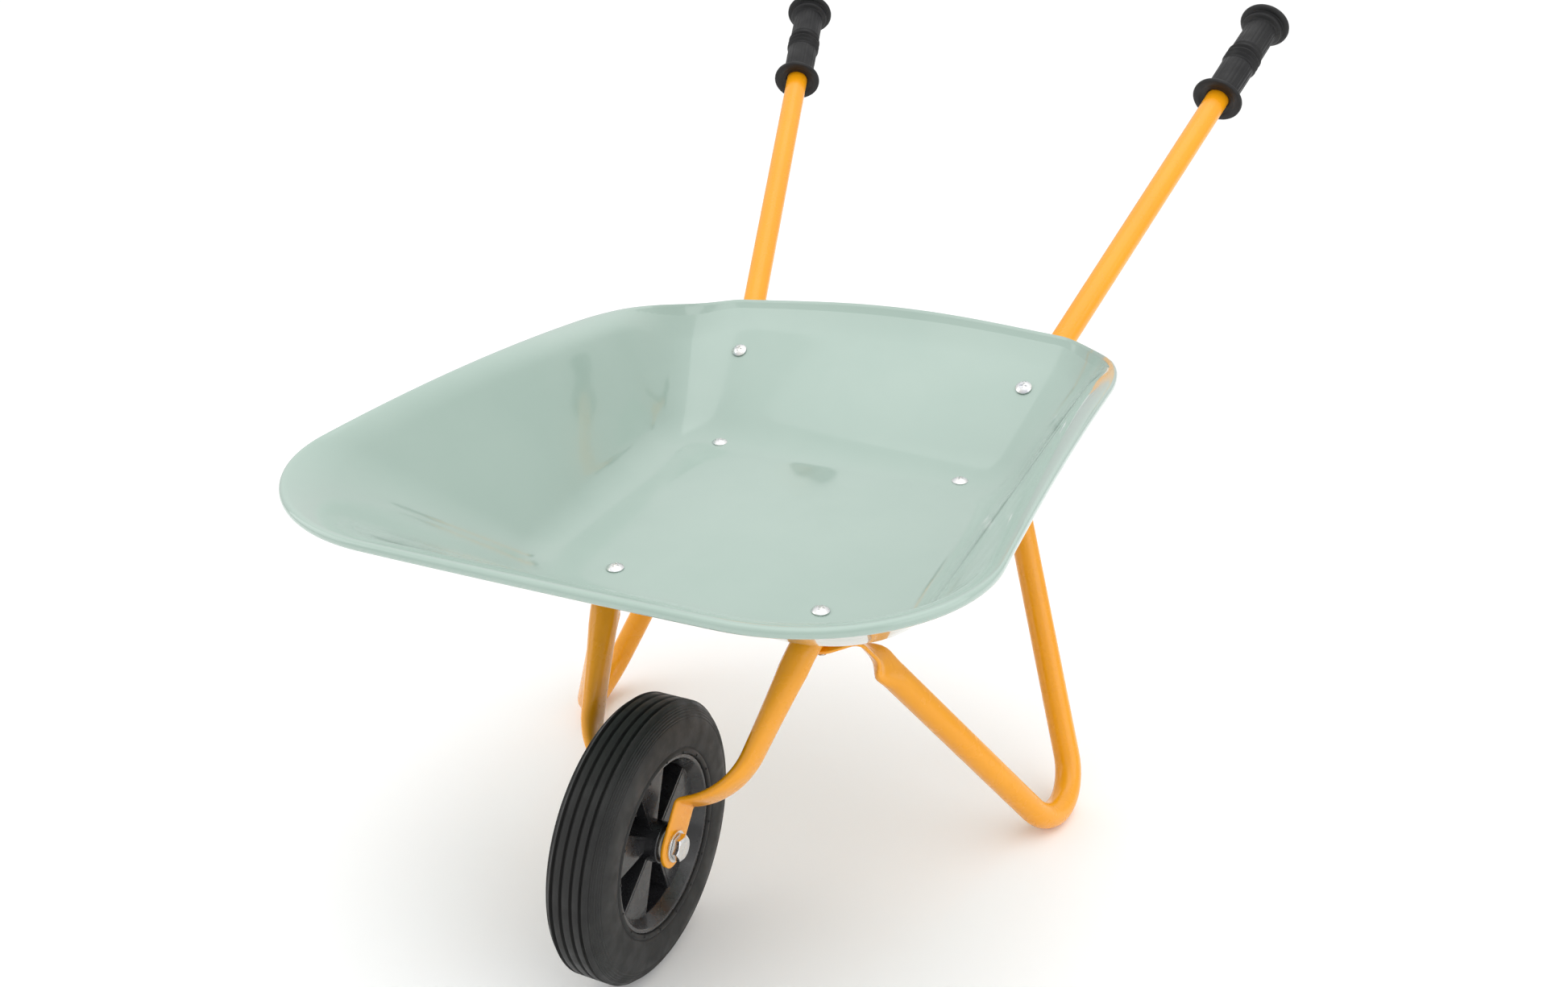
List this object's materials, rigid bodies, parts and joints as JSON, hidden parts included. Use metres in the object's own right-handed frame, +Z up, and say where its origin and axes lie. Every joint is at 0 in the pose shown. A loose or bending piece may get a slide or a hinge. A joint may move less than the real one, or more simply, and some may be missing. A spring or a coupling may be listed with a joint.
{
  "type": "wheelbarrow",
  "caption": "Small garden wheelbarrow: pressed steel tray with rolled rim on bent tube handles, V-shaped legs, rubber grips and a solid-tyred front wheel that spins on its axle bolt.",
  "frame": {"origin": "middle of the whole object's length and width, on the ground", "axes": "+X toward the wheel, +Y to the left seen from the handles, +Z up"},
  "size_m": [0.853, 0.4664, 0.5488],
  "materials": {
    "tray_paint": "pale mint green gloss enamel on steel sheet",
    "frame_paint": "orange-yellow gloss powder coat on steel tube",
    "grip_rubber": "black, satin",
    "tyre_rubber": "black, satin, fine mould lines",
    "hub_plastic": "black gloss",
    "bush_nylon": "natural nylon",
    "zinc_steel": "bright zinc plate"
  },
  "bodies": {
    "frame": {"tray": "tray_paint", "main_tube_left": "frame_paint", "main_tube_right": "frame_paint", "leg_left": "frame_paint", "leg_right": "frame_paint", "grip_left": "grip_rubber", "grip_right": "grip_rubber", "axle_bolt": "zinc_steel", "axle_nut": "zinc_steel", "axle_washer_left": "zinc_steel", "axle_washer_right": "zinc_steel", "axle_spacer_left": "zinc_steel", "axle_spacer_right": "zinc_steel", "back_screw_left": "zinc_steel", "back_screw_right": "zinc_steel", "rear_screw_left": "zinc_steel", "rear_screw_right": "zinc_steel", "front_screw_left": "zinc_steel", "front_screw_right": "zinc_steel", "back_nut_left": "zinc_steel", "back_nut_right": "zinc_steel", "rear_nut_left": "zinc_steel", "rear_nut_right": "zinc_steel", "front_nut_left": "zinc_steel", "front_nut_right": "zinc_steel"},
    "wheel": {"tyre": "tyre_rubber", "wheel_hub": "hub_plastic", "hub_bush_left": "bush_nylon", "hub_bush_right": "bush_nylon"}
  },
  "joints": [
    {"name": "wheel_spin", "type": "hinge", "parent": "frame", "child": "wheel", "pos_m": [0.3155, 0, 0.089], "axis": [0, 1, 0], "continuous": true}
  ]
}
